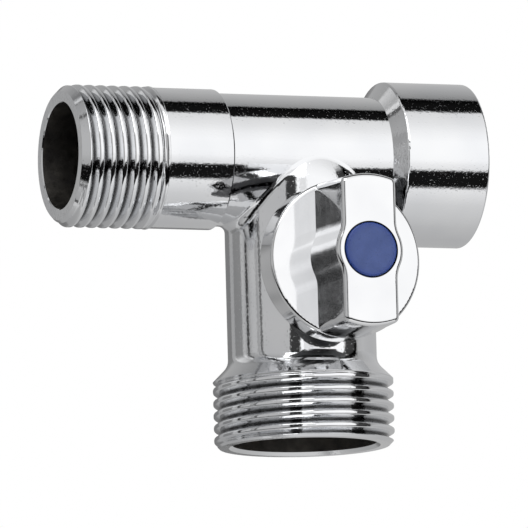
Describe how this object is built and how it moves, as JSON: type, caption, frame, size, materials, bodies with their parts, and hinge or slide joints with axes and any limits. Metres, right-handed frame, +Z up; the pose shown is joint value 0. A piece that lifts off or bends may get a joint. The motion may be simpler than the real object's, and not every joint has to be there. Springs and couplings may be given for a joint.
{
  "type": "tee-pattern angle ball valve",
  "caption": "Chrome tee-pattern ball valve: male inlet, female socket on the run, and a valved male outlet hanging below with a round quarter-turn knob and blue index cap.",
  "frame": {"origin": "centre of the outlet's lower end face, on the branch axis", "axes": "+Z up the branch axis, -X out of the male inlet, +X out of the female socket, -Y towards the knob"},
  "size_m": [0.0627, 0.0421, 0.0541],
  "materials": {
    "chrome_plate": "polished",
    "knob_chrome": "polished",
    "ball_chrome": "polished",
    "blue_plastic": "gloss",
    "seat_plastic": "matte",
    "bare_brass": "satin",
    "black_rubber": "matte",
    "zinc_steel": "satin"
  },
  "bodies": {
    "valve_body": {"body": "chrome_plate", "upper_seat": "seat_plastic", "lower_seat": "seat_plastic", "seat_retainer": "bare_brass", "retainer_o_ring": "black_rubber"},
    "handle": {"knob": "knob_chrome", "index_cap": "blue_plastic", "knob_screw": "zinc_steel", "lock_washer": "zinc_steel", "stem": "bare_brass", "inner_stem_o_ring": "black_rubber", "outer_stem_o_ring": "black_rubber", "thrust_washer": "seat_plastic", "ball": "ball_chrome"}
  },
  "joints": [
    {"name": "handle_turn", "type": "hinge", "parent": "valve_body", "child": "handle", "pos_m": [0, -0.01861, 0.02521], "axis": [0, 1, 0], "range_deg": [0, 90]}
  ]
}
